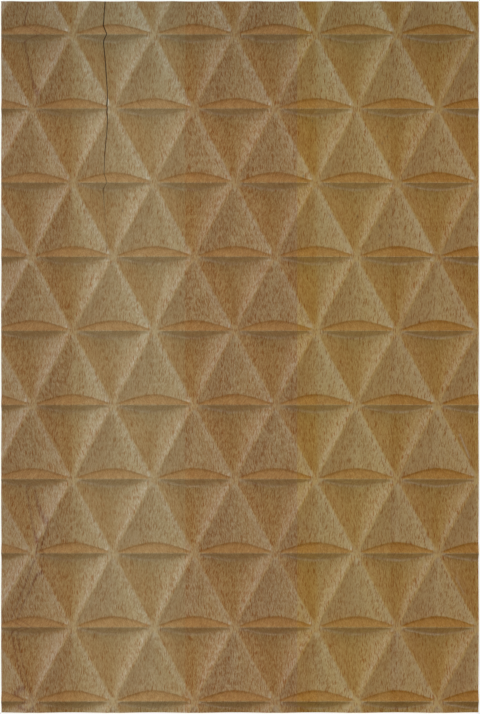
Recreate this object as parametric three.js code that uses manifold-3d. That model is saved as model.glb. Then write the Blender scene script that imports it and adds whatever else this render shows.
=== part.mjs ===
// Carved wooden wall panel. Five upright boards are glued edge to edge, and their face is carved
// all over with triangular hollows that meet in straight level ridges and slanting ridges.
// Millimetres, +Z up. The carved face looks along -Y, the flat back lies on y = 0, and the origin
// is the middle of the back.

import * as THREE from 'three';
import { mergeVertices } from 'three/addons/utils/BufferGeometryUtils.js';
import Module from 'manifold-3d';

const wasm = await Module();
wasm.setup();

// Panel
const panelHeight = 894;
const panelThickness = 32;
const glueLine = 0.3;

// Boards
const leftEdgeBoardWidth = 89;
const paleBoardWidth = 142;
const reddishBoardWidth = 141;
const oliveBoardWidth = 117;
const rightEdgeBoardWidth = 111;

// Carving. A node is a point where six hollows meet; nodes of one level ridge stand half a pitch
// beside those of the next.
const nodePitch = 101.9;
const rowHeight = 93.1;
const firstRidgeDrop = 41.5; // from the top edge down to the first level ridge
const firstNodeShift = -6.2; // from the middle of the panel to a node of that ridge
const hollowDepth = 12; // at the foot of the steep wall, in the middle of a hollow
const wallAboveRidge = 12.8; // how far up the face a wall reaches above its ridge
const wallBelowRidge = 8.2; // how far down the face a wall reaches below its ridge
const hollowRounding = 0.7; // 0 makes a V-shaped hollow, more makes it rounder
const stripsPerHollow = 12;

const oiledWoodRoughness = 0.6;

// Boards from left to right, seen from the front
const boards = [
  { name: 'left_edge_board', width: leftEdgeBoardWidth, colour: 0x8c6f4b },
  { name: 'pale_board', width: paleBoardWidth, colour: 0x957c57 },
  { name: 'reddish_board', width: reddishBoardWidth, colour: 0x8e6f4a },
  { name: 'olive_board', width: oliveBoardWidth, colour: 0x927549 },
  { name: 'right_edge_board', width: rightEdgeBoardWidth, colour: 0x8d7045 },
];

const panelWidth = boards.reduce((sum, board) => sum + board.width, 0);

// Depth across a hollow as a share: 1 on its middle line, 0 on its two slanting edges at u = -1, 1
function crossSection(u) {
  const edge = Math.hypot(1, hollowRounding);
  return (edge - Math.hypot(u, hollowRounding)) / (edge - hollowRounding);
}

function facePoint(x, depth, z) {
  return new THREE.Vector3(x, depth - panelThickness, z);
}

// One triangular hollow. It is a cone that starts from nothing at its node and grows wider and
// deeper up to the steep wall of the level ridge across from that node. way is -1 where that ridge
// lies below the node and 1 where it lies above.
function addHollow(triangles, nodeX, nodeZ, way) {
  const wall = way < 0 ? wallAboveRidge : wallBelowRidge;
  const wallSlope = hollowDepth / wall;
  const depthAtRidge = hollowDepth * rowHeight / (rowHeight - wall);
  const node = facePoint(nodeX, 0, nodeZ);
  const foot = [];
  const crest = [];
  for (let i = 0; i <= stripsPerHollow; i += 1) {
    const u = 2 * i / stripsPerHollow - 1;
    const depth = depthAtRidge * crossSection(u);
    const reach = wallSlope * rowHeight / (wallSlope * rowHeight + depth);
    foot.push(facePoint(nodeX + reach * u * nodePitch / 2, reach * depth, nodeZ + way * reach * rowHeight));
    crest.push(facePoint(nodeX + u * nodePitch / 2, 0, nodeZ + way * rowHeight));
  }
  const add = (a, b, c) => triangles.push(way < 0 ? [a, b, c] : [a, c, b]);
  for (let i = 0; i < stripsPerHollow; i += 1) {
    add(node, foot[i], foot[i + 1]);
    if (i > 0) add(foot[i], crest[i], crest[i + 1]);
    if (i < stripsPerHollow - 1) add(foot[i], crest[i + 1], foot[i + 1]);
  }
}

// All hollows of a face a little larger than the panel, so that its edges cut through them
function carvedFace() {
  const triangles = [];
  const firstRow = -Math.floor(firstRidgeDrop / rowHeight) - 1;
  const lastRow = Math.floor((panelHeight - firstRidgeDrop) / rowHeight) + 1;
  const firstNode = Math.ceil((-panelWidth / 2 - firstNodeShift) / nodePitch) - 1;
  const lastNode = Math.floor((panelWidth / 2 - firstNodeShift) / nodePitch) + 1;
  const rowZ = (row) => panelHeight / 2 - firstRidgeDrop - row * rowHeight;
  for (let row = firstRow; row < lastRow; row += 1) {
    const evenAbove = row % 2 === 0;
    const evenZ = rowZ(evenAbove ? row : row + 1);
    const oddZ = rowZ(evenAbove ? row + 1 : row);
    const evenWay = evenAbove ? -1 : 1;
    for (let i = firstNode; i <= lastNode; i += 1) {
      const nodeX = firstNodeShift + i * nodePitch;
      addHollow(triangles, nodeX, evenZ, evenWay);
      if (i < lastNode) addHollow(triangles, nodeX + nodePitch / 2, oddZ, -evenWay);
    }
  }
  return triangles;
}

// Closes the carved face to a block by sides along its rim and by a copy of the face pressed flat,
// which lies well behind the back of the panel
function carvedBlank() {
  const face = mergedGeometry(carvedFace().flat());
  const index = Array.from(face.index.array);
  const front = Array.from(face.attributes.position.array);
  const count = front.length / 3;
  const back = front.map((value, i) => (i % 3 === 1 ? panelThickness : value));
  const faces = [...index];
  const inward = new Map();
  for (let i = 0; i < index.length; i += 3) {
    const [a, b, c] = index.slice(i, i + 3);
    faces.push(a + count, c + count, b + count);
    for (const [from, to] of [[a, b], [b, c], [c, a]]) {
      if (!inward.delete(`${to} ${from}`)) inward.set(`${from} ${to}`, [from, to]);
    }
  }
  for (const [from, to] of inward.values()) {
    faces.push(to, from, from + count, to, from + count, to + count);
  }
  return solid(new Float32Array([...front, ...back]), new Uint32Array(faces));
}

function mergedGeometry(points) {
  return mergeVertices(new THREE.BufferGeometry().setFromPoints(points));
}

function solid(vertProperties, triVerts) {
  return new wasm.Manifold(new wasm.Mesh({ numProp: 3, vertProperties, triVerts }));
}

function boxSolid(width, depth, height, x, y, z) {
  const box = new THREE.BoxGeometry(width, depth, height).translate(x, y, z);
  box.deleteAttribute('normal');
  box.deleteAttribute('uv');
  const merged = mergeVertices(box);
  return solid(new Float32Array(merged.attributes.position.array), new Uint32Array(merged.index.array));
}

function geometryOf(cutSolid) {
  const mesh = cutSolid.getMesh();
  const geometry = new THREE.BufferGeometry();
  geometry.setAttribute('position', new THREE.BufferAttribute(mesh.vertProperties, 3));
  geometry.setIndex(new THREE.BufferAttribute(mesh.triVerts, 1));
  return geometry;
}

// A board is the part of the carved blank between its two glue joints
function board(blank, { name, width, colour }, left, isFirst, isLast) {
  const leftSide = isFirst ? left : left + glueLine / 2;
  const rightSide = isLast ? left + width : left + width - glueLine / 2;
  const depth = 2 * panelThickness;
  const middle = (leftSide + rightSide) / 2;
  const cut = blank.intersect(boxSolid(rightSide - leftSide, depth, panelHeight, middle, -depth / 2, 0));
  const geometry = geometryOf(cut).translate(-middle, 0, 0);
  const material = new THREE.MeshStandardMaterial({ color: colour, roughness: oiledWoodRoughness, metalness: 0 });
  const mesh = new THREE.Mesh(geometry, material);
  mesh.name = name;
  mesh.position.x = middle;
  return mesh;
}

function carvedPanel() {
  const panel = new THREE.Group();
  const blank = carvedBlank();
  let left = -panelWidth / 2;
  boards.forEach((entry, i) => {
    panel.add(board(blank, entry, left, i === 0, i === boards.length - 1));
    left += entry.width;
  });
  return panel;
}

export default carvedPanel();
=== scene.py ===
# A carved wooden wall panel: five upright boards glued edge to edge under one carved face.
# Metres, +Z up along the grain, the carved face towards -Y and the flat back on y = 0.

import math

import bpy
import numpy as np
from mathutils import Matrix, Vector


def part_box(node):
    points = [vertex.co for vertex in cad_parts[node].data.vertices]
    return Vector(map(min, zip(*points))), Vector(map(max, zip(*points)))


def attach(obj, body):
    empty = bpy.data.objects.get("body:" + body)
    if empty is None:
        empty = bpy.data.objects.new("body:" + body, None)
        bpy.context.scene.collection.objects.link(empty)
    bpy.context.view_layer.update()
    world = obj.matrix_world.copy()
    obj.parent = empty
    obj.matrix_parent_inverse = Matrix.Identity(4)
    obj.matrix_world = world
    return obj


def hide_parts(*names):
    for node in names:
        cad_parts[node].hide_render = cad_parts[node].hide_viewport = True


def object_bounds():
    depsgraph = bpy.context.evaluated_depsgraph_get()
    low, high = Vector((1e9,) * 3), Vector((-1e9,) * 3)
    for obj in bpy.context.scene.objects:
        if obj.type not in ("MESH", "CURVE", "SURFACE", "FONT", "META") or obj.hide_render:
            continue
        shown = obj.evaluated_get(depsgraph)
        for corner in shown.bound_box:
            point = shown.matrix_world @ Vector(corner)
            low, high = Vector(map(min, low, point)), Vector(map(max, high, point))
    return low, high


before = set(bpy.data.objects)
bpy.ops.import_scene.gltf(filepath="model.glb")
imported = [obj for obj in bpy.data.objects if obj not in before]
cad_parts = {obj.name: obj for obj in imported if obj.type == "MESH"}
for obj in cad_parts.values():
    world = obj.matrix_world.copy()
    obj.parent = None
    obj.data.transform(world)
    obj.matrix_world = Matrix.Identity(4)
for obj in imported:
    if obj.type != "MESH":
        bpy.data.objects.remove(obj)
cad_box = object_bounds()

MM = 0.001

# Panel, from the frame
PANEL_LOW, PANEL_HIGH = cad_box
THICKNESS = PANEL_HIGH.y - PANEL_LOW.y
BOARD_NAMES = ("left_edge_board", "pale_board", "reddish_board", "olive_board", "right_edge_board")

# Carving, with the sizes of the solids
NODE_PITCH = 101.9 * MM
ROW_HEIGHT = 93.1 * MM
FIRST_RIDGE_DROP = 41.5 * MM
FIRST_NODE_SHIFT = -6.2 * MM
HOLLOW_DEPTH = 12 * MM
WALL_ABOVE_RIDGE = 12.8 * MM
WALL_BELOW_RIDGE = 8.2 * MM
HOLLOW_ROUNDING = 0.7

# Sanding, which softens every ridge, blunts the nodes and leaves the foot of a wall slightly round
RIDGE_SOFTENING = 0.5 * MM
NODE_TOP = 3.5 * MM
NODE_REACH = 12 * MM
UPPER_FOOT_ROUNDING = 0.8 * MM    # foot of a wall that looks up
LOWER_FOOT_ROUNDING = 6 * MM    # foot of a wall that looks down

# Spacing of the points that a board's face is made of, and the stretch beside a ridge with fine rows
COLUMN_SPACING = 1.3 * MM
FINE_ROW_SPACING = 0.8 * MM
COARSE_ROW_SPACING = 1.7 * MM
FINE_ABOVE_RIDGE = 13.6 * MM
FINE_BELOW_RIDGE = 9 * MM

# Drying crack in the pale board: how far below the top edge, and how far from the panel's middle
# line it would show on an uncut face. It leans, so it shows further left in a hollow.
CRACK_PATH = ((0, -167.1), (32, -167.6), (56, -167.3), (80, -166.4), (114, -166.1), (134, -166.6),
              (164, -166.2), (190, -167.3), (215, -166.6), (241, -167.9), (278, -167.4), (320, -167))
CRACK_LEAN = 0.42
CRACK_WIDTH = 0.9 * MM
CRACK_DEPTH = 3.5 * MM
CRACK_LENGTH = 320 * MM
CRACK_CLEARANCE = 1.5 * CRACK_WIDTH    # nearer than this there are no even columns of points
CRACK_SURROUND = 2 * CRACK_WIDTH    # nearer than this the columns follow the crack in full
CRACK_PULL = 14 * MM    # how far beside the crack the columns bend along with it
CRACK_STEPS = 12    # steps in which the place of the crack on the carved face is found
CRACK_STEP_SHARE = 0.6

# Mineral streaks in the left edge board: dark growth layers that lean much further through it
STREAK_LEAN = 2
STREAK_WIDTH = 1.5 * MM
STREAK_FADE = 14 * MM
STREAK_PATHS = (
    ((0, -250.5), (60, -250.4), (125, -252.6)),
    ((606, -247.5), (660, -251.6), (703, -256.8), (730, -261.1), (776, -273.2), (835, -273.8), (894, -268)),
    ((612, -236.5), (647, -240), (717, -248.4), (740, -251.1), (774, -261.4), (835, -265), (894, -259)),
)

# Pin knots and dark pores: how far from the middle line and below the top edge
PIN_KNOTS = ((91, 150), (113.5, 270), (147.5, 270), (175, 282), (187.5, 294), (79.5, 219.5), (178.5, 178.5),
             (187.5, 201), (185, 170), (190, 108), (-147.5, 263), (67.5, 194))
KNOT_SIZE = (0.8 * MM, 1.5 * MM)

# Scratches in the right edge board: both ends, from the middle line and below the top edge, and
# how white they are
SCRATCHES = (((276.2, 544.2), (288.3, 573.9), 1.0), ((270.9, 723.5), (280.8, 743.7), 0.5))
SCRATCH_WIDTH = 0.7 * MM

# Heights of the strips with a painted shade that darkens the top, and with a richer tone towards the foot
PAINTED_SHADE_TOP = 180 * MM
RICHER_FOOT = 260 * MM

# Finish. The sizes of grain, wear and feet are in millimetres, as the grain's own places are.
WIDE_WANDER = 12.0    # how far the fibres wander, in slow bends and in close ones
WIDE_WANDER_SIZE = (50, 50, 110)
CLOSE_WANDER = 1.6
CLOSE_WANDER_SIZE = (7, 9, 24)
COARSE_DASH = {"Spacing": 0.95, "Length": 9.2, "Size": 0.4}
FINE_DASH = {"Spacing": 0.64, "Length": 5.0, "Size": 0.42}
FINE_DASH_STRENGTH = 0.7
END_DASH_LOSS = 0.6    # share of a dash that is lost where the surface cuts across the fibres
PALE_FLECK = {"Spacing": 1.0, "Length": 5.4, "Size": 0.4, "Share": 1.0}
LEAST_FLECK = 0.35    # smallest fleck, as a share of the size
WEAKEST_FLECK = 0.5
FLECK_SPREAD = 0.6    # how much stronger than the weakest a fleck can be
FLECK_EDGE = 0.4    # how much of a fleck is its soft edge
BROAD_BAND = {"Width": 16.0, "Length": 150.0}
NARROW_BAND = {"Width": 3.2, "Length": 34.0}
SILK_PATCH = {"Width": 6.0, "Length": 20.0}
BAND_DEPTH = 3.0    # how many times deeper than wide a band is
WEAR_REACH = 1.8
WORN_SLOPE = 6.5    # how many times further than the wear the sheen beside a worn ridge reaches
WEAR_STRENGTH = 0.7
LEAST_WEAR = 0.35
UNEVEN_WEAR_SIZE = (5, 5, 9)
END_PORE_SIZE = (0.9, 2.4, 2.4)
UPPER_FOOT = ((-1.8, 0.4), (0.6, 4.2))    # where the painted shade at the foot of a wall begins and ends
# the same for the painted shade beyond the foot of a wall that looks down
LOWER_FOOT = ((-7, -1.5), (0, 3))

# Distances from a node, and from the middle of the crack
NODE_SHEEN_REACH = 16.8 * MM    # where the sheen of a node ends
CLEAR_OF_NODE = 30 * MM    # where the painted shade at a lower foot is full
TIP_REACH = (17 * MM, 9 * MM)    # where the dull tip of a wall begins, and where it is full
CRACK_SHADE = (0.3 * MM, 0.9 * MM)    # where the dark of the crack begins to fade, and where it ends

# A soft random value has no effect at the first of these values, and its full effect at the second
BAND_CONTRAST = (0.25, 0.75)
WEAR_CONTRAST = (0.3, 0.6)
END_PORE_CONTRAST = (0.44, 0.66)

# Part of a slope's normal at which the slope does not yet face a way, and at which it fully does
FACES_FRONT = (-0.9, -0.985)
FACES_LEFT = (-0.02, -0.3)
FACES_UP = (0.1, 0.35)
TIP_FACES_LEFT = (-0.1, -0.3)
TIP_FACES_UP = (-0.03, 0.1)
STEEP_TO_LEFT = (-0.36, -0.56)
CUTS_ACROSS = (0.3, 0.6)
SILK_SLOPE = 0.3    # a steeper slope up or down has no more silk than this one

# Relief of the finest grain, and how rough the wood is
BAND_RELIEF = 0.15
DASH_RELIEF = -1.0
RELIEF_DEPTH = 0.1 * MM
RELIEF_STRENGTH = 0.3
WOOD_ROUGHNESS = 0.62
DASH_ROUGHNESS = 0.15
SHEEN_ROUGHNESS = 0.5
SHEEN_IOR = 2.4
WOOD_GLOSS = 0.2

# How far light and dark growth and every mark change the colour of the wood
PALE_GROWTH = (1.05, 1.09, 1.16)
DARK_GROWTH = (0.95, 0.91, 0.84)
MARK_TONES = {
    "narrow_band": (1.09, 1.12, 1.16),
    "pale_fleck": (1.14, 1.2, 1.32),
    "dash": (0.76, 0.46, 0.25),
    # Both feet are painted shade: darker wood in the crease at the foot of a wall, and beyond the foot of a
    # wall that looks down
    "lower_foot_painted_shade": (0.93, 0.91, 0.9),
    "upper_foot_painted_shade": (0.88, 0.82, 0.76),
    "end_pore": (0.78, 0.66, 0.56),
    "wear": (1.12, 1.18, 1.26),
    "mineral": (0.62, 0.42, 0.5),
    "knot": (0.3, 0.2, 0.15),
}
SCRATCH_COLOUR = (0.5, 0.44, 0.38)
# painted_shade_top is painted shade that darkens the top of the panel
PLACE_TONES = {"painted_shade_top": (0.82, 0.87, 0.92), "rich_foot": (1, 0.96, 0.88), "crack": (0.12, 0.08, 0.07)}

# How much every mark adds to the sheen, and then what share of it every mark takes away
PLAIN_SHEEN = 0.87
BAND_SHEEN = 0.2
WORN_SLOPE_SHEEN = 0.65
WORN_FLECK_SHEEN = 1.6
STEEP_SHEEN = 0.4    # share that is left on the steepest slopes to the left
# The painted shade at both feet also takes sheen away
ADDED_SHEEN = {"pale_fleck": 0.6, "node_top": 1.7, "upper_foot_painted_shade": -0.35, "lower_foot_painted_shade": -0.35}
# The painted shade at the top also takes a little sheen away
LOST_SHEEN = {"tip": 0.8, "dash": 0.95, "end": 0.12, "mineral": 0.5, "crack": 1.0, "painted_shade_top": 0.08}

# Each board's own wood. Tones are strips of another tone: from, to and softness in millimetres from
# the panel's middle line, and the tone itself.
BOARD_WOODS = {
    "left_edge_board": {
        "colour": (0.441, 0.276, 0.112), "ray_lean": -0.5, "shift": 0.0,
        "flecks": 1.15, "density": 0.85, "bands": 1.0,
        "sheen": 0.525, "silk_across": 0.64, "silk_up": 0.14,
        "tones": ((-226, -190, 6, (1.06, 1.06, 1)),),
    },
    "pale_board": {
        "colour": (0.516, 0.366, 0.176), "ray_lean": 0.42, "shift": 310.0,
        "flecks": 1.0, "density": 0.7, "bands": 0.9,
        "sheen": 0.564, "silk_across": 0.98, "silk_up": -0.38,
        "tones": ((-230, -198, 9, (0.92, 0.85, 0.7)), (-198, -150, 14, (0.98, 0.96, 0.94)),
                  (-88, -50, 9, (0.95, 0.91, 0.83))),
    },
    "reddish_board": {
        "colour": (0.462, 0.28, 0.1), "ray_lean": -0.4, "shift": 730.0,
        "flecks": 1.25, "density": 0.9, "bands": 1.0,
        "sheen": 0.71, "silk_across": 0.72, "silk_up": -0.5,
        "tones": ((-90, -56, 7, (1.05, 1.03, 0.98)), (44, 90, 7, (0.96, 0.94, 0.9))),
    },
    "olive_board": {
        "colour": (0.483, 0.304, 0.0905), "ray_lean": 0.3, "shift": 1150.0,
        "flecks": 1.3, "density": 0.45, "bands": 0.8,
        "sheen": 0.525, "silk_across": 0.06, "silk_up": -1.05,
        "tones": ((60, 97, 3, (0.99, 0.92, 0.66)), (97, 112, 4, (1.0, 1.02, 1.08))),
    },
    "right_edge_board": {
        "colour": (0.439, 0.245, 0.0515), "ray_lean": 0.35, "shift": 1570.0,
        "flecks": 1.32, "density": 0.45, "bands": 0.8,
        "sheen": 0.687, "silk_across": 0.22, "silk_up": -1.4,
        "tones": ((208, 244, 8, (1.02, 1.06, 1.2)), (296, 310, 4, (1.05, 1.12, 1.3))),
    },
}

# Floor and room
FLOOR_SIZE = 9
FLOOR_DROP = 0.3    # how far the floor lies below the panel
FLOOR_COLOUR = (0.68, 0.74, 0.86)
SEEN_WALL_COLOUR = (0.93, 0.93, 0.93)
ROOM_GLOW_STRENGTH = 0.02
ROOM_GLOW_COLOUR = (1, 0.85, 0.7)

# Lights: name, degrees to the right of the panel's front, degrees up, strength and colour
LIGHT_DISTANCE = 10
LIGHT_SIZE = 4.6
FULL_POWER = 1120
LIGHTS = (
    ("window_left", -72, 5, 0.624, (0.785, 0.911, 1)),
    ("window_high", -72, 30, 0.124, (0.539, 0.758, 1)),
    ("fill_right", 72, 10, 0.2315, (1, 0.97, 0.802)),
    ("lamp_above", 0, 80, 0.165, (1, 0.58, 0.3)),
    ("lamp_upper_right", 45, 50, 0.0884, (1, 0.498, 0)),
    ("lamp_front", 0, 0, 0.0372, (1, 0.424, 0)),
    ("floor_glow", 0, -38, 0.0985, (0.9, 0.87, 1)),
    ("floor_glow_right", 35, -42, 0.0752, (0.995, 1, 0.938)),
    ("floor_glow_front", 0, -17, 0.089, (0.82, 1, 0.6)),
    ("behind_left", -140, 25, 0.35, (1, 0.97, 0.93)),
    ("behind_right", 140, 25, 0.25, (1, 0.97, 0.93)),
)

# Photograph: the image is 480 by 714 pixels, and the panel is this many pixels high in it
IMAGE_HEIGHT = 714
PANEL_PIXELS = 711.8
CAMERA_DISTANCE = 7.4

NEARLY_NOTHING = 1e-6


def crosswise_depth(u):
    """Depth across a hollow as a share: 1 on its middle line and 0 on its slanting edges."""
    edge = math.hypot(1, HOLLOW_ROUNDING)
    return (edge - np.hypot(u, HOLLOW_ROUNDING)) / (edge - HOLLOW_ROUNDING)


def soft_least(a, b, width):
    """The smaller of two depths, with the corner between them rounded."""
    mix = np.clip(0.5 + (b - a) / (2 * width), 0, 1)
    return b + (a - b) * mix - width * mix * (1 - mix)


def smooth_step(value, low, high):
    """Goes smoothly from 0 to 1 while the value goes from low to high."""
    share = np.clip((value - low) / (high - low), 0, 1)
    return share * share * (3 - 2 * share)


def nearest_node(x, row):
    """Across position of the node nearest to x on a level ridge."""
    first = FIRST_NODE_SHIFT + np.where(row % 2 == 0, 0, NODE_PITCH / 2)
    return first + np.round((x - first) / NODE_PITCH) * NODE_PITCH


def carving(x, z):
    """Depth of the carved face below the uncut face, and where each point lies in its hollow."""
    rows_down = (PANEL_HIGH.z - FIRST_RIDGE_DROP - z) / ROW_HEIGHT
    row = np.floor(rows_down).astype(int)
    below = rows_down - row
    from_upper = x - nearest_node(x, row)
    from_lower = x - nearest_node(x, row + 1)
    # A hollow hangs from a node of the ridge above it, or stands on a node of the ridge below it
    hangs = np.abs(from_upper) < below * NODE_PITCH / 2
    along = np.maximum(np.where(hangs, below, 1 - below), NEARLY_NOTHING)
    half_width = along * NODE_PITCH / 2
    u = np.clip(np.where(hangs, from_upper, from_lower) / half_width, -1, 1)
    wall = np.where(hangs, WALL_ABOVE_RIDGE, WALL_BELOW_RIDGE)
    depth_at_ridge = HOLLOW_DEPTH * ROW_HEIGHT / (ROW_HEIGHT - wall)
    hollow = depth_at_ridge * along * crosswise_depth(u)
    # The steep wall rises to the ridge across from the node
    steep = (1 - along) * ROW_HEIGHT * HOLLOW_DEPTH / wall
    rounding = np.where(hangs, UPPER_FOOT_ROUNDING, LOWER_FOOT_ROUNDING)
    depth = np.maximum(soft_least(hollow, steep, rounding), 0)
    depth = np.sqrt(depth ** 2 + RIDGE_SOFTENING ** 2) - RIDGE_SOFTENING
    to_node = np.minimum(np.hypot(from_upper, below * ROW_HEIGHT),
                         np.hypot(from_lower, (1 - below) * ROW_HEIGHT))
    slant = math.cos(math.atan2(NODE_PITCH / 2, ROW_HEIGHT))
    past_foot = (hollow - steep) * wall / HOLLOW_DEPTH
    marks = {"to_slant": (1 - np.abs(u)) * half_width * slant, "to_node": to_node,
             "past_upper_foot": np.where(hangs, past_foot, -ROW_HEIGHT),
             "past_lower_foot": np.where(hangs, -ROW_HEIGHT, past_foot)}
    return depth * smooth_step(to_node, NODE_TOP, NODE_REACH), marks


def crack_offset(x, z, depth):
    """Distance of a point of the face to the right of the drying crack."""
    drops, places = np.array(CRACK_PATH).T * MM
    return x + CRACK_LEAN * depth - np.interp(PANEL_HIGH.z - z, drops, places)


def crack_opening(z):
    """How far the crack is open at a height, as a share: it closes towards its lower end."""
    drop = PANEL_HIGH.z - z
    return np.sqrt(np.clip(1 - (drop / CRACK_LENGTH) ** 3, 0, 1))


def crack_place(z):
    """Across position at which the crack shows at each height."""
    x = np.full_like(z, CRACK_PATH[0][1] * MM)
    for _ in range(CRACK_STEPS):
        x = x - CRACK_STEP_SHARE * crack_offset(x, z, carving(x, z)[0])
    return x


def mineral_share(x, z, depth):
    """How strongly a mineral streak darkens each point of the left edge board."""
    drop = PANEL_HIGH.z - z
    share = np.zeros_like(x)
    for path in STREAK_PATHS:
        drops, places = np.array(path).T * MM
        apart = x + STREAK_LEAN * depth - np.interp(drop, drops, places)
        ends = smooth_step(drop, drops[0] - STREAK_FADE, drops[0] + STREAK_FADE)
        ends = ends * (1 - smooth_step(drop, drops[-1] - STREAK_FADE, drops[-1] + STREAK_FADE))
        share = np.maximum(share, ends * np.exp(-(apart / STREAK_WIDTH) ** 2))
    return share


def knot_share(x, z):
    """How strongly a pin knot darkens each point."""
    share = np.zeros_like(x)
    for place, drop in PIN_KNOTS:
        across = (x - place * MM) / KNOT_SIZE[0]
        along = (PANEL_HIGH.z - z - drop * MM) / KNOT_SIZE[1]
        share = np.maximum(share, np.exp(-across ** 2 - along ** 2))
    return share


def scratch_share(x, z):
    """How strongly a scratch whitens each point."""
    share = np.zeros_like(x)
    points = np.stack([x, PANEL_HIGH.z - z], axis=-1)
    for start, stop, strength in SCRATCHES:
        start, stop = np.array(start) * MM, np.array(stop) * MM
        along = np.clip((points - start) @ (stop - start) / np.sum((stop - start) ** 2), 0, 1)
        apart = np.linalg.norm(points - start - along[..., None] * (stop - start), axis=-1)
        share = np.maximum(share, strength * np.exp(-(apart / SCRATCH_WIDTH) ** 2))
    return share


def even_steps(start, stop, spacing):
    """Evenly spaced places from start to stop, no further apart than the spacing."""
    return np.linspace(start, stop, max(1, math.ceil((stop - start) / spacing)) + 1)


def row_places():
    """Heights of the rows of points: close together over the level ridges and their walls."""
    low, high = PANEL_LOW.z, PANEL_HIGH.z
    top = high - FIRST_RIDGE_DROP
    ridges = [top - i * ROW_HEIGHT for i in range(-1, math.ceil((top - low) / ROW_HEIGHT) + 1)]
    marks = {low, high}
    for ridge in ridges:
        marks |= {ridge - FINE_BELOW_RIDGE, ridge, ridge + FINE_ABOVE_RIDGE}
    marks = sorted(mark for mark in marks if low <= mark <= high)
    rows = [low]
    for start, stop in zip(marks, marks[1:]):
        middle = (start + stop) / 2
        fine = any(-FINE_BELOW_RIDGE < middle - ridge < FINE_ABOVE_RIDGE for ridge in ridges)
        rows.extend(even_steps(start, stop, FINE_ROW_SPACING if fine else COARSE_ROW_SPACING)[1:])
    return np.array(rows)


def column_places(left, right, cracked):
    """Across positions of the columns of points, with some to spare along a crack."""
    columns = even_steps(left, right, COLUMN_SPACING)
    if not cracked:
        return columns
    middle = CRACK_PATH[0][1] * MM
    lips = middle + CRACK_WIDTH * np.array((-1, -0.5, 0, 0.5, 1))
    apart = np.abs(columns - middle) > CRACK_CLEARANCE
    return np.sort(np.concatenate([columns[apart], lips]))


def carved_face(name, left, right):
    """Grid of points of a board's face, and what its finish needs to know at each point."""
    cracked = name == "pale_board"
    z, x = np.meshgrid(row_places(), column_places(left, right, cracked), indexing="ij")
    if cracked:
        middle = CRACK_PATH[0][1] * MM
        pull = 1 - smooth_step(np.abs(x - middle), CRACK_SURROUND, CRACK_PULL)
        x = x + pull * (crack_place(z[:, 0]) - middle)[:, None]
    depth, marks = carving(x, z)
    from_crack = np.full_like(x, CRACK_PULL)
    if cracked:
        opening = crack_opening(z)
        offset = np.abs(crack_offset(x, z, depth))
        half = np.maximum(CRACK_WIDTH / 2 * opening, NEARLY_NOTHING)
        depth = depth + CRACK_DEPTH * opening * np.clip(1 - offset / half, 0, 1)
        from_crack = offset + CRACK_SURROUND * (1 - opening)
    points = np.stack([x, depth - THICKNESS, z], axis=-1)
    mineral = mineral_share(x, z, depth) if name == "left_edge_board" else np.zeros_like(x)
    marks |= {"from_crack": from_crack, "mineral": mineral, "knot": knot_share(x, z),
              "scratch": scratch_share(x, z)}
    return points, marks


def mark_sharp(mesh, rim):
    """Keeps the edge all round the carved face crisp."""
    order = np.full(len(mesh.vertices), -1)
    order[rim] = np.arange(len(rim))
    ends = np.empty(2 * len(mesh.edges), dtype=np.int32)
    mesh.edges.foreach_get("vertices", ends)
    first, second = order[ends.reshape(-1, 2)].T
    step = np.abs(first - second)
    sharp = (np.minimum(first, second) >= 0) & ((step == 1) | (step == len(rim) - 1))
    mesh.attributes.new("sharp_edge", "BOOLEAN", "EDGE").data.foreach_set("value", sharp)


def board_mesh(name, left, right):
    """A closed board: carved in front, flat behind and square at its sides."""
    points, marks = carved_face(name, left, right)
    rows, columns = points.shape[:2]
    index = np.arange(rows * columns).reshape(rows, columns)
    face = np.stack([index[:-1, :-1], index[:-1, 1:], index[1:, 1:], index[1:, :-1]], axis=-1).reshape(-1, 4)
    rim = np.concatenate([index[0, :-1], index[:-1, -1], index[-1, :0:-1], index[:0:-1, 0]])
    behind = rows * columns + np.arange(len(rim))
    sides = np.stack([np.roll(rim, -1), rim, behind, np.roll(behind, -1)], axis=-1)
    front = points.reshape(-1, 3)
    back = front[rim] * (1, 0, 1)
    mesh = bpy.data.meshes.new(name)
    faces = face.tolist() + sides.tolist() + [behind[::-1].tolist()]
    mesh.from_pydata(np.concatenate([front, back]).tolist(), [], faces)
    mesh.polygons.foreach_set("use_smooth", np.arange(len(faces)) < len(face))
    mark_sharp(mesh, rim)
    for mark, values in marks.items():
        values = np.concatenate([values.ravel(), values.ravel()[rim]])
        mesh.attributes.new(mark, "FLOAT", "POINT").data.foreach_set("value", values.astype(np.float32))
    mesh.update()
    return mesh


def board_sides(name):
    """Left and right side of a board. Neighbours meet in the middle of their glue joint."""
    low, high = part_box(name)
    order = BOARD_NAMES.index(name)
    left = low.x
    right = high.x
    if order > 0:
        left = (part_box(BOARD_NAMES[order - 1])[1].x + low.x) / 2
    if order < len(BOARD_NAMES) - 1:
        right = (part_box(BOARD_NAMES[order + 1])[0].x + high.x) / 2
    return left, right


def make_board(name, wood):
    """A carved board that stands for its plain solid."""
    left, right = board_sides(name)
    board = bpy.data.objects.new("carved_" + name, board_mesh(name, left, right))
    bpy.context.scene.collection.objects.link(board)
    board.data.materials.append(wood)
    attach(board, "root")
    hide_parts(name)
    return board


# Nodes of the finishes

def join(tree, value, socket):
    """Sets a socket to a number or colour, or links another node's output to it."""
    if isinstance(value, bpy.types.NodeSocket):
        tree.links.new(value, socket)
    elif socket.type == "RGBA" and len(value) == 3:
        socket.default_value = (*value, 1)
    else:
        socket.default_value = value


def add(tree, kind, inputs=(), **settings):
    """Adds a node with its inputs and settings."""
    node = tree.nodes.new(kind)
    for setting, value in settings.items():
        setattr(node, setting, value)
    for socket, value in dict(inputs).items():
        join(tree, value, node.inputs[socket])
    return node


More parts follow.
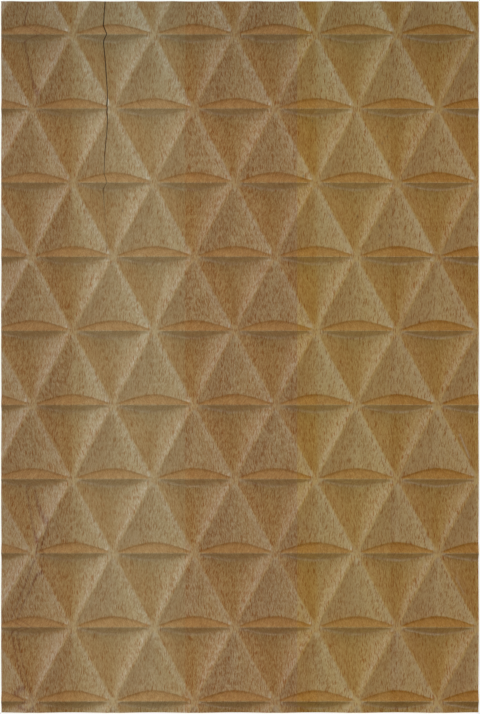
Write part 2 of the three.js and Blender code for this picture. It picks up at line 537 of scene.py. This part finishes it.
def calc(tree, operation, *values, clamp=False):
    """The result of a sum; MULTIPLY_ADD is first times second plus third."""
    inputs = dict(enumerate(values))
    return add(tree, "ShaderNodeMath", inputs, operation=operation, use_clamp=clamp).outputs[0]


def fade(tree, value, start, stop, low=0.0, high=1.0):
    """Goes smoothly from low to high while the value goes from start to stop."""
    inputs = {"Value": value, "From Min": start, "From Max": stop, "To Min": low, "To Max": high}
    return add(tree, "ShaderNodeMapRange", inputs, interpolation_type="SMOOTHSTEP").outputs[0]


def lessen(tree, value, share, amount):
    """Takes away up to an amount of a value, by a share."""
    return calc(tree, "MULTIPLY", value, calc(tree, "MULTIPLY_ADD", share, -amount, 1.0, clamp=True))


def tint(tree, share, plain, tinted, kind="MIX"):
    """Mixes a colour with another, or multiplies it by another, by a share."""
    # A colour mix has its share at socket 0, its colours at 6 and 7, and its result at 2
    inputs = {0: share, 6: plain, 7: tinted}
    return add(tree, "ShaderNodeMix", inputs, data_type="RGBA", blend_type=kind).outputs[2]


def scaled(tree, vector, x, y, z):
    """A vector stretched along its three directions."""
    inputs = {0: vector, 1: (x, y, z)}
    return add(tree, "ShaderNodeVectorMath", inputs, operation="MULTIPLY").outputs[0]


def cloud(tree, vector, size=(1, 1, 1), detail=2.0, roughness=0.5):
    """A soft random value around a half, in clouds of a size."""
    stretched = scaled(tree, vector, *(1 / length for length in size))
    inputs = {"Vector": stretched, "Scale": 1.0, "Detail": detail, "Roughness": roughness}
    return add(tree, "ShaderNodeTexNoise", inputs).outputs["Fac"]


def parts(tree, vector):
    """The X, Y and Z of a vector."""
    return add(tree, "ShaderNodeSeparateXYZ", {0: vector}).outputs


def face_mark(tree, name):
    """A value that the face of the board carries at each of its points."""
    return add(tree, "ShaderNodeAttribute", attribute_name=name).outputs["Fac"]


def strip_along(tree, mark, rise, fall):
    """A strip where a mark, a distance along the face, lies between two soft ends in millimetres."""
    distance = face_mark(tree, mark)
    past_start = fade(tree, distance, rise[0] * MM, rise[1] * MM)
    return calc(tree, "SUBTRACT", past_start, fade(tree, distance, fall[0] * MM, fall[1] * MM))


def new_group(name, inputs, outputs):
    """A shader node group with named sockets, and its input and output nodes."""
    group = bpy.data.node_groups.new(name, "ShaderNodeTree")
    for direction, sockets in (("INPUT", inputs), ("OUTPUT", outputs)):
        for socket, kind in sockets.items():
            group.interface.new_socket(socket, in_out=direction, socket_type="NodeSocket" + kind)
    return group, group.nodes.new("NodeGroupInput").outputs, group.nodes.new("NodeGroupOutput").inputs


def place_group(tree, group, **inputs):
    """Places a node group with its inputs, and gives its outputs."""
    node = add(tree, "ShaderNodeGroup", node_tree=group)
    for socket, value in inputs.items():
        join(tree, value, node.inputs[socket.replace("_", " ")])
    return node.outputs


def grain_place_group():
    """Millimetres in the wood itself: across the grain, inward, and along the grain.

    Growth layers lean, so a hollow cuts them further to the side the deeper it goes. The fibres
    wander a little, as they do in a real board.
    """
    tree, given, result = new_group(
        "grain_place", {"Place": "Vector", "Lean": "Float", "Shift": "Float"}, {"Grain": "Vector"})
    place = parts(tree, scaled(tree, given["Place"], 1 / MM, 1 / MM, 1 / MM))
    inward = calc(tree, "ADD", place["Y"], THICKNESS / MM)
    across = calc(tree, "ADD", calc(tree, "MULTIPLY_ADD", inward, given["Lean"], place["X"]), given["Shift"])
    straight = add(tree, "ShaderNodeCombineXYZ", {0: across, 1: inward, 2: place["Z"]}).outputs[0]
    wide = cloud(tree, straight, WIDE_WANDER_SIZE, detail=1.0)
    close = cloud(tree, straight, CLOSE_WANDER_SIZE, detail=1.0)
    wander = calc(tree, "MULTIPLY_ADD", wide, WIDE_WANDER, calc(tree, "MULTIPLY", close, CLOSE_WANDER))
    moved = calc(tree, "ADD", across, wander)
    grain = add(tree, "ShaderNodeCombineXYZ", {0: moved, 1: inward, 2: place["Z"]}).outputs[0]
    tree.links.new(grain, result["Grain"])
    return tree


def ray_flecks_group():
    """Short dashes along the grain, where the wood's rays come to the surface."""
    sockets = {"Grain": "Vector", "Spacing": "Float", "Length": "Float", "Size": "Float", "Share": "Float"}
    tree, given, result = new_group("ray_flecks", sockets, {"Fleck": "Float"})
    part = parts(tree, given["Grain"])
    across = calc(tree, "DIVIDE", part["X"], given["Spacing"])
    along = calc(tree, "DIVIDE", part["Z"], given["Length"])
    cell = add(tree, "ShaderNodeCombineXYZ", {0: across, 1: along}).outputs[0]
    cells = add(tree, "ShaderNodeTexVoronoi", {"Vector": cell, "Scale": 1.0}, voronoi_dimensions="2D").outputs
    chance = add(tree, "ShaderNodeSeparateColor", {0: cells["Color"]}).outputs
    reach = calc(tree, "MULTIPLY", given["Size"], calc(tree, "ADD", chance["Red"], LEAST_FLECK))
    dash = calc(tree, "SUBTRACT", 1.0, calc(tree, "DIVIDE", cells["Distance"], reach), clamp=True)
    strength = calc(tree, "MULTIPLY_ADD", chance["Green"], FLECK_SPREAD, WEAKEST_FLECK)
    fleck = calc(tree, "MULTIPLY", fade(tree, dash, 0.0, FLECK_EDGE), strength, clamp=True)
    shown = calc(tree, "LESS_THAN", chance["Blue"], given["Share"])
    tree.links.new(calc(tree, "MULTIPLY", fleck, shown), result["Fleck"])
    return tree


def grain_bands_group():
    """Long soft bands along the grain, from -1 to 1."""
    tree, given, result = new_group(
        "grain_bands", {"Grain": "Vector", "Width": "Float", "Length": "Float"}, {"Band": "Float"})
    part = parts(tree, given["Grain"])
    across = calc(tree, "DIVIDE", part["X"], given["Width"])
    inward = calc(tree, "DIVIDE", part["Y"], calc(tree, "MULTIPLY", given["Width"], BAND_DEPTH))
    along = calc(tree, "DIVIDE", part["Z"], given["Length"])
    stretched = add(tree, "ShaderNodeCombineXYZ", {0: across, 1: inward, 2: along}).outputs[0]
    soft = cloud(tree, stretched, detail=3.0, roughness=0.55)
    tree.links.new(fade(tree, soft, *BAND_CONTRAST, -1.0, 1.0), result["Band"])
    return tree


def edge_wear_group():
    """How worn a slanting ridge is, in uneven lengths: its crest, and the slope beside it."""
    tree, given, result = new_group(
        "edge_wear", {"Grain": "Vector", "Reach": "Float"}, {"Wear": "Float", "Slope": "Float"})
    to_slant = calc(tree, "DIVIDE", face_mark(tree, "to_slant"), MM)
    apart = calc(tree, "DIVIDE", to_slant, given["Reach"])
    uneven = cloud(tree, given["Grain"], UNEVEN_WEAR_SIZE)
    uneven = fade(tree, uneven, *WEAR_CONTRAST, LEAST_WEAR, 1.0)
    for name, reach in (("Wear", 1.0), ("Slope", WORN_SLOPE)):
        worn = calc(tree, "MULTIPLY", fade(tree, apart, 0.0, reach, 1.0, 0.0), uneven)
        tree.links.new(worn, result[name])
    return tree


def tone_band_group():
    """A strip of board between two places across it, in millimetres, with soft sides."""
    sockets = {"Place": "Vector", "From": "Float", "To": "Float", "Softness": "Float"}
    tree, given, result = new_group("tone_band", sockets, {"Band": "Float"})
    across = calc(tree, "DIVIDE", parts(tree, given["Place"])["X"], MM)
    past_start = calc(tree, "DIVIDE", calc(tree, "SUBTRACT", across, given["From"]), given["Softness"])
    past_stop = calc(tree, "DIVIDE", calc(tree, "SUBTRACT", across, given["To"]), given["Softness"])
    band = calc(tree, "SUBTRACT", fade(tree, past_start, -1.0, 1.0), fade(tree, past_stop, -1.0, 1.0))
    tree.links.new(band, result["Band"])
    return tree


def end_grain_group():
    """How much of a surface cuts across the fibres, and the fine pores that show there."""
    sockets = {"Normal": "Vector", "Grain": "Vector"}
    tree, given, result = new_group("end_grain", sockets, {"End": "Float", "Pore": "Float"})
    up = parts(tree, given["Normal"])["Z"]
    pores = cloud(tree, given["Grain"], END_PORE_SIZE, roughness=0.7)
    end = fade(tree, calc(tree, "ABSOLUTE", up), *CUTS_ACROSS)
    tree.links.new(end, result["End"])
    tree.links.new(calc(tree, "MULTIPLY", fade(tree, pores, *END_PORE_CONTRAST), end), result["Pore"])
    return tree


GRAIN_PLACE = grain_place_group()
RAY_FLECKS = ray_flecks_group()
GRAIN_BANDS = grain_bands_group()
EDGE_WEAR = edge_wear_group()
TONE_BAND = tone_band_group()
END_GRAIN = end_grain_group()


def dark_dashes(tree, rays, end, flecks, density):
    """Dark dashes of two sizes, weaker where the surface cuts across the fibres."""
    coarse = place_group(tree, RAY_FLECKS, Grain=rays, Share=density, **COARSE_DASH)["Fleck"]
    fine = place_group(tree, RAY_FLECKS, Grain=rays, Share=density, **FINE_DASH)["Fleck"]
    dashes = calc(tree, "MAXIMUM", coarse, calc(tree, "MULTIPLY", fine, FINE_DASH_STRENGTH))
    return calc(tree, "MULTIPLY", lessen(tree, dashes, end, END_DASH_LOSS), flecks, clamp=True)


def wood_marks(tree, surface, ray_lean, shift, flecks, density):
    """What changes over a board: bands from -1 to 1, slopes as parts of the normal, all else 0 to 1."""
    lie = {"Place": surface["Object"], "Shift": shift}
    rays = place_group(tree, GRAIN_PLACE, Lean=ray_lean, **lie)["Grain"]
    layers = place_group(tree, GRAIN_PLACE, Lean=-1 / ray_lean, **lie)["Grain"]
    facing = parts(tree, surface["Normal"])
    height = parts(tree, surface["Object"])["Z"]
    cut = place_group(tree, END_GRAIN, Normal=surface["Normal"], Grain=rays)
    worn = place_group(tree, EDGE_WEAR, Grain=rays, Reach=WEAR_REACH)
    crossed = scaled(tree, rays, -1, 1, 1)
    silk_slope = {"Value": facing["Z"], "Min": -SILK_SLOPE, "Max": SILK_SLOPE}
    marks = {
        "end": cut["End"],
        "end_pore": cut["Pore"],
        "sideways": facing["X"],
        "upward": add(tree, "ShaderNodeClamp", silk_slope).outputs[0],
        "dash": dark_dashes(tree, rays, cut["End"], flecks, density),
        "pale_fleck": place_group(tree, RAY_FLECKS, Grain=crossed, **PALE_FLECK)["Fleck"],
        "broad_band": place_group(tree, GRAIN_BANDS, Grain=layers, **BROAD_BAND)["Band"],
        "narrow_band": place_group(tree, GRAIN_BANDS, Grain=rays, **NARROW_BAND)["Band"],
        "silk_patch": place_group(tree, GRAIN_BANDS, Grain=rays, **SILK_PATCH)["Band"],
        "wear": calc(tree, "MULTIPLY", worn["Wear"], WEAR_STRENGTH),
        "knot": face_mark(tree, "knot"),
        "scratch": face_mark(tree, "scratch"),
        "crack": fade(tree, face_mark(tree, "from_crack"), *CRACK_SHADE, 1.0, 0.0),
        # Painted shade that darkens the top of the panel
        "painted_shade_top": fade(tree, height, PANEL_HIGH.z - PAINTED_SHADE_TOP, PANEL_HIGH.z),
        "rich_foot": fade(tree, height, PANEL_LOW.z + RICHER_FOOT, PANEL_LOW.z),
        # Painted shade in the crease at the foot of a wall that looks up
        "upper_foot_painted_shade": strip_along(tree, "past_upper_foot", *UPPER_FOOT),
    }
    spotted = calc(tree, "MULTIPLY_ADD", marks["dash"], 0.5, 0.6)
    marks["mineral"] = calc(tree, "MULTIPLY", face_mark(tree, "mineral"), spotted, clamp=True)

    to_node = face_mark(tree, "to_node")
    blunted = fade(tree, to_node, NODE_TOP, NODE_SHEEN_REACH, 1.0, 0.0)
    marks["node_top"] = calc(tree, "MULTIPLY", blunted, fade(tree, facing["Y"], *FACES_FRONT))
    # Painted shade beyond the foot of a wall that looks down, full only clear of the nodes
    clear_of_node = fade(tree, to_node, NODE_REACH, CLEAR_OF_NODE)
    lower_foot_painted_shade = strip_along(tree, "past_lower_foot", *LOWER_FOOT)
    marks["lower_foot_painted_shade"] = calc(tree, "MULTIPLY", lower_foot_painted_shade, clear_of_node)

    # The left tip of a wall that looks up, and the slopes that look left towards the window
    tip = calc(tree, "MULTIPLY", fade(tree, to_node, *TIP_REACH), fade(tree, facing["Z"], *TIP_FACES_UP))
    marks["tip"] = calc(tree, "MULTIPLY", tip, fade(tree, facing["X"], *TIP_FACES_LEFT))
    not_up = fade(tree, facing["Z"], *FACES_UP, 1.0, 0.0)
    looks_left = calc(tree, "MULTIPLY", fade(tree, facing["X"], *FACES_LEFT), not_up)
    marks["left_slope"] = calc(tree, "MULTIPLY", worn["Slope"], looks_left)
    return marks


def wood_colour(tree, marks, place, colour, bands, tones):
    """The brown of the wood with its growth bands, strips of another tone, marks and painted shade."""
    dark = [part * tone for part, tone in zip(colour, DARK_GROWTH)]
    pale = [part * tone for part, tone in zip(colour, PALE_GROWTH)]
    shares = dict(marks)
    for band in ("broad_band", "narrow_band"):
        shares[band] = calc(tree, "MULTIPLY_ADD", marks[band], 0.5 * bands, 0.5, clamp=True)
    base = tint(tree, shares["broad_band"], dark, pale)
    for start, stop, softness, tone in tones:
        strip = place_group(tree, TONE_BAND, Place=place, From=start, To=stop, Softness=softness)["Band"]
        base = tint(tree, strip, base, tone, kind="MULTIPLY")
    for mark, tone in MARK_TONES.items():
        base = tint(tree, shares[mark], base, tone, kind="MULTIPLY")
    base = tint(tree, marks["scratch"], base, SCRATCH_COLOUR)
    for mark, tone in PLACE_TONES.items():
        base = tint(tree, marks[mark], base, tone, kind="MULTIPLY")
    return base


def wood_sheen(tree, marks, bands, sheen, silk_across, silk_up):
    """How strong the pale sheen over the wood is, stronger on slopes that face one way."""
    shine = calc(tree, "MULTIPLY_ADD", marks["sideways"], silk_across, PLAIN_SHEEN)
    shine = calc(tree, "MULTIPLY_ADD", marks["upward"], silk_up, shine)
    for band in ("narrow_band", "silk_patch"):
        shine = calc(tree, "MULTIPLY_ADD", marks[band], BAND_SHEEN * bands, shine)
    for mark, amount in ADDED_SHEEN.items():
        shine = calc(tree, "MULTIPLY_ADD", marks[mark], amount, shine)
    silky = calc(tree, "MULTIPLY_ADD", marks["pale_fleck"], WORN_FLECK_SHEEN, WORN_SLOPE_SHEEN)
    shine = calc(tree, "MULTIPLY_ADD", marks["left_slope"], silky, shine)
    steep = fade(tree, marks["sideways"], *STEEP_TO_LEFT, 1.0, STEEP_SHEEN)
    shine = calc(tree, "MULTIPLY", shine, steep)
    for mark, amount in LOST_SHEEN.items():
        shine = lessen(tree, shine, marks[mark], amount)
    return calc(tree, "MULTIPLY", shine, sheen, clamp=True)


def oiled_wood(name, colour, ray_lean, shift, flecks, density, bands, sheen, silk_across, silk_up, tones):
    """Oiled board: a saturated brown under a soft pale sheen that the pores break up."""
    wood = bpy.data.materials.new("oiled_" + name)
    wood.use_nodes = True
    tree = wood.node_tree
    shader = tree.nodes["Principled BSDF"]
    surface = add(tree, "ShaderNodeTexCoord").outputs
    marks = wood_marks(tree, surface, ray_lean, shift, flecks, density)
    colour = wood_colour(tree, marks, surface["Object"], colour, bands, tones)
    sheen = wood_sheen(tree, marks, bands, sheen, silk_across, silk_up)
    roughness = calc(tree, "MULTIPLY_ADD", marks["dash"], DASH_ROUGHNESS, WOOD_ROUGHNESS)
    relief = calc(tree, "MULTIPLY", marks["dash"], DASH_RELIEF)
    relief = calc(tree, "MULTIPLY_ADD", marks["narrow_band"], BAND_RELIEF, relief)
    fine_relief = {"Strength": RELIEF_STRENGTH, "Distance": RELIEF_DEPTH, "Height": relief}
    join(tree, colour, shader.inputs["Base Color"])
    join(tree, roughness, shader.inputs["Roughness"])
    join(tree, sheen, shader.inputs["Coat Weight"])
    join(tree, add(tree, "ShaderNodeBump", fine_relief).outputs["Normal"], shader.inputs["Normal"])
    shader.inputs["Specular IOR Level"].default_value = WOOD_GLOSS
    shader.inputs["Coat Roughness"].default_value = SHEEN_ROUGHNESS
    shader.inputs["Coat IOR"].default_value = SHEEN_IOR
    return wood


def matt_paint(name, colour):
    """An even matt paint."""
    paint = bpy.data.materials.new(name)
    paint.use_nodes = True
    shader = paint.node_tree.nodes["Principled BSDF"]
    shader.inputs["Base Color"].default_value = (*colour, 1)
    shader.inputs["Roughness"].default_value = 0.9
    return paint


def make_floor():
    """A pale floor. The lamps below it shine through it, and stand for the light that it throws back."""
    bpy.ops.mesh.primitive_plane_add(size=FLOOR_SIZE, location=(0, 0, PANEL_LOW.z - FLOOR_DROP))
    floor = bpy.context.object
    floor.name = "pale_floor"
    floor.data.materials.append(matt_paint("pale_floor_paint", FLOOR_COLOUR))
    floor.visible_shadow = False
    floor.visible_diffuse = False
    floor.visible_glossy = False


def soft_light(name, azimuth, elevation, strength, colour):
    """A square soft light that faces the panel."""
    lamp = bpy.data.lights.new(name, "AREA")
    lamp.size = LIGHT_SIZE
    lamp.energy = FULL_POWER * strength
    lamp.color = colour
    light = bpy.data.objects.new(name, lamp)
    turn = math.radians(azimuth)
    rise = math.radians(elevation)
    away = Vector((math.sin(turn) * math.cos(rise), -math.cos(turn) * math.cos(rise), math.sin(rise)))
    light.location = away * LIGHT_DISTANCE
    light.visible_camera = False
    light.rotation_euler = away.to_track_quat("Z", "Y").to_euler()
    bpy.context.scene.collection.objects.link(light)
    return light


def make_room():
    """An even pale room: white where it is seen, with a weaker glow that lights the panel."""
    world = bpy.data.worlds.new("pale_room")
    bpy.context.scene.world = world
    world.use_nodes = True
    nodes, links = world.node_tree.nodes, world.node_tree.links
    glow = nodes["Background"]
    glow.inputs["Color"].default_value = (*ROOM_GLOW_COLOUR, 1)
    glow.inputs["Strength"].default_value = ROOM_GLOW_STRENGTH
    seen = nodes.new("ShaderNodeBackground")
    seen.inputs["Color"].default_value = (*SEEN_WALL_COLOUR, 1)
    path = nodes.new("ShaderNodeLightPath")
    mix = nodes.new("ShaderNodeMixShader")
    links.new(path.outputs["Is Camera Ray"], mix.inputs["Fac"])
    links.new(glow.outputs[0], mix.inputs[1])
    links.new(seen.outputs[0], mix.inputs[2])
    links.new(mix.outputs[0], nodes["World Output"].inputs["Surface"])


def make_camera():
    """A camera straight in front, far enough away to see the panel as the photograph does."""
    camera = bpy.data.objects.new("camera", bpy.data.cameras.new("camera"))
    bpy.context.scene.collection.objects.link(camera)
    framed = (PANEL_HIGH.z - PANEL_LOW.z) * IMAGE_HEIGHT / PANEL_PIXELS
    camera.data.lens = camera.data.sensor_width * CAMERA_DISTANCE / framed
    middle = (PANEL_LOW + PANEL_HIGH) / 2
    camera.location = (middle.x, PANEL_LOW.y - CAMERA_DISTANCE, middle.z)
    camera.rotation_euler = (math.pi / 2, 0, 0)
    bpy.context.scene.camera = camera


bpy.context.scene.view_settings.view_transform = "Standard"
for board_name, values in BOARD_WOODS.items():
    make_board(board_name, oiled_wood(board_name, **values))
make_floor()
make_room()
for light in LIGHTS:
    soft_light(*light)
make_camera()
